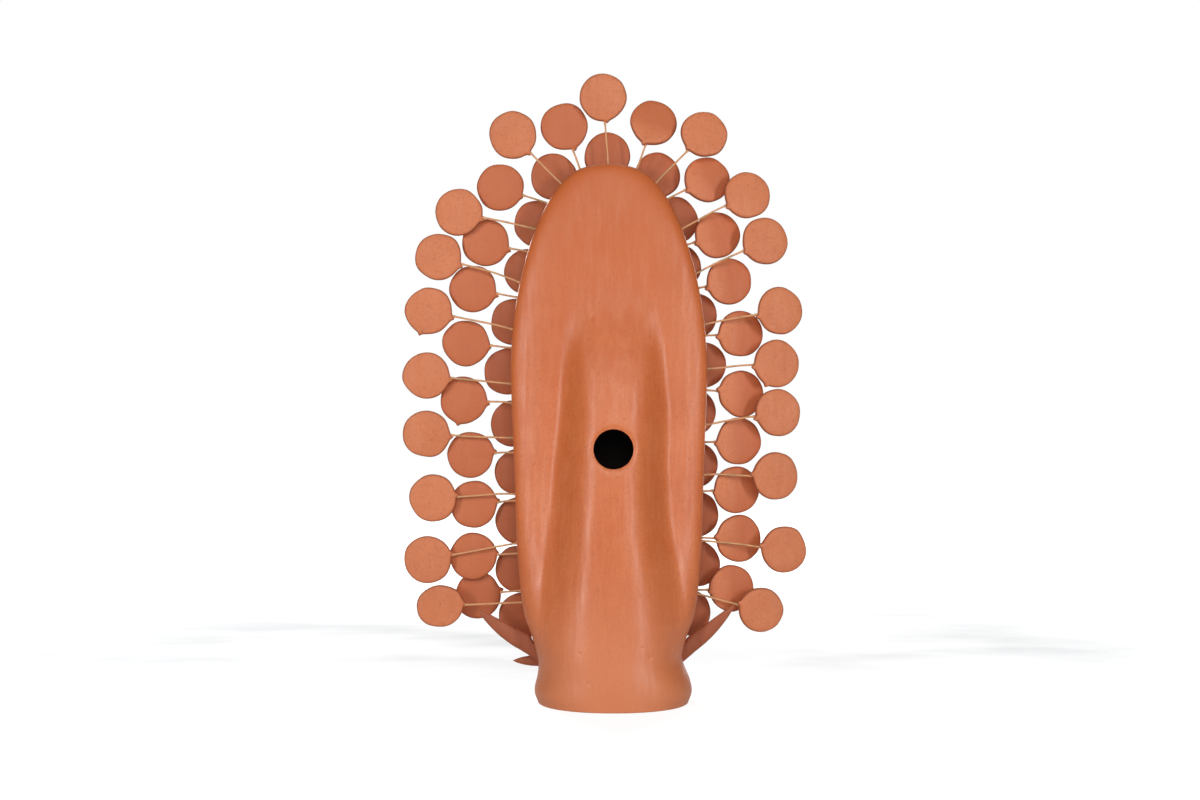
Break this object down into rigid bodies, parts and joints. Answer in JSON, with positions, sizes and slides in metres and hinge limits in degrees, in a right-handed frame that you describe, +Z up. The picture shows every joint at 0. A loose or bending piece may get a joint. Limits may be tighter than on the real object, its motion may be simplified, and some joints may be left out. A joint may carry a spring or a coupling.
{
  "type": "tree of life sculpture",
  "caption": "Unpainted clay tree of life: a hollow upright body on an oval foot, ringed with round clay discs on wires, with a vent hole in its smooth rear and a relief tree on its front.",
  "frame": {"origin": "on the floor, under the middle of the whole tree's bounding box", "axes": "+Z up the tree, +Y towards its smooth rear with the vent hole, -Y towards its decorated front, +X to the viewer's left when the rear is looked at"},
  "size_m": [0.3224, 0.1003, 0.499],
  "materials": {
    "body_clay": "burnished, unglazed terracotta",
    "disc_clay": "matte, unglazed terracotta",
    "relief_clay": "matte, unglazed terracotta",
    "wire": "annealed steel wire dulled with clay slip"
  },
  "bodies": {
    "root": {"rear_shell": "body_clay", "front_shell": "body_clay", "base_plate": "body_clay", "outer_disc_01": "disc_clay", "outer_disc_02": "disc_clay", "outer_disc_03": "disc_clay", "outer_disc_04": "disc_clay", "outer_disc_05": "disc_clay", "outer_disc_06": "disc_clay", "outer_disc_07": "disc_clay", "outer_disc_08": "disc_clay", "outer_disc_09": "disc_clay", "outer_disc_10": "disc_clay", "outer_disc_11": "disc_clay", "outer_disc_12": "disc_clay", "outer_disc_13": "disc_clay", "outer_disc_14": "disc_clay", "outer_disc_15": "disc_clay", "outer_disc_16": "disc_clay", "outer_disc_17": "disc_clay", "outer_disc_18": "disc_clay", "outer_disc_19": "disc_clay", "middle_disc_01": "disc_clay", "middle_disc_02": "disc_clay", "middle_disc_03": "disc_clay", "middle_disc_04": "disc_clay", "middle_disc_05": "disc_clay", "middle_disc_06": "disc_clay", "middle_disc_07": "disc_clay", "middle_disc_08": "disc_clay", "middle_disc_09": "disc_clay", "middle_disc_10": "disc_clay", "middle_disc_11": "disc_clay", "middle_disc_12": "disc_clay", "middle_disc_13": "disc_clay", "middle_disc_14": "disc_clay", "middle_disc_15": "disc_clay", "middle_disc_16": "disc_clay", "middle_disc_17": "disc_clay", "middle_disc_18": "disc_clay", "middle_disc_19": "disc_clay", "middle_disc_20": "disc_clay", "inner_discs_left": "disc_clay", "inner_discs_right": "disc_clay", "outer_wires": "wire", "middle_wires": "wire", "inner_wires": "wire", "outer_blossoms": "relief_clay", "middle_blossoms": "relief_clay", "inner_blossoms": "relief_clay", "trunk": "relief_clay", "branches": "relief_clay", "serpent": "relief_clay", "canopy_leaves": "relief_clay", "canopy_flowers": "relief_clay", "fruits": "relief_clay", "bird_left": "relief_clay", "bird_right": "relief_clay", "base_leaves_long": "relief_clay", "base_leaves_short": "relief_clay"}
  },
  "joints": []
}
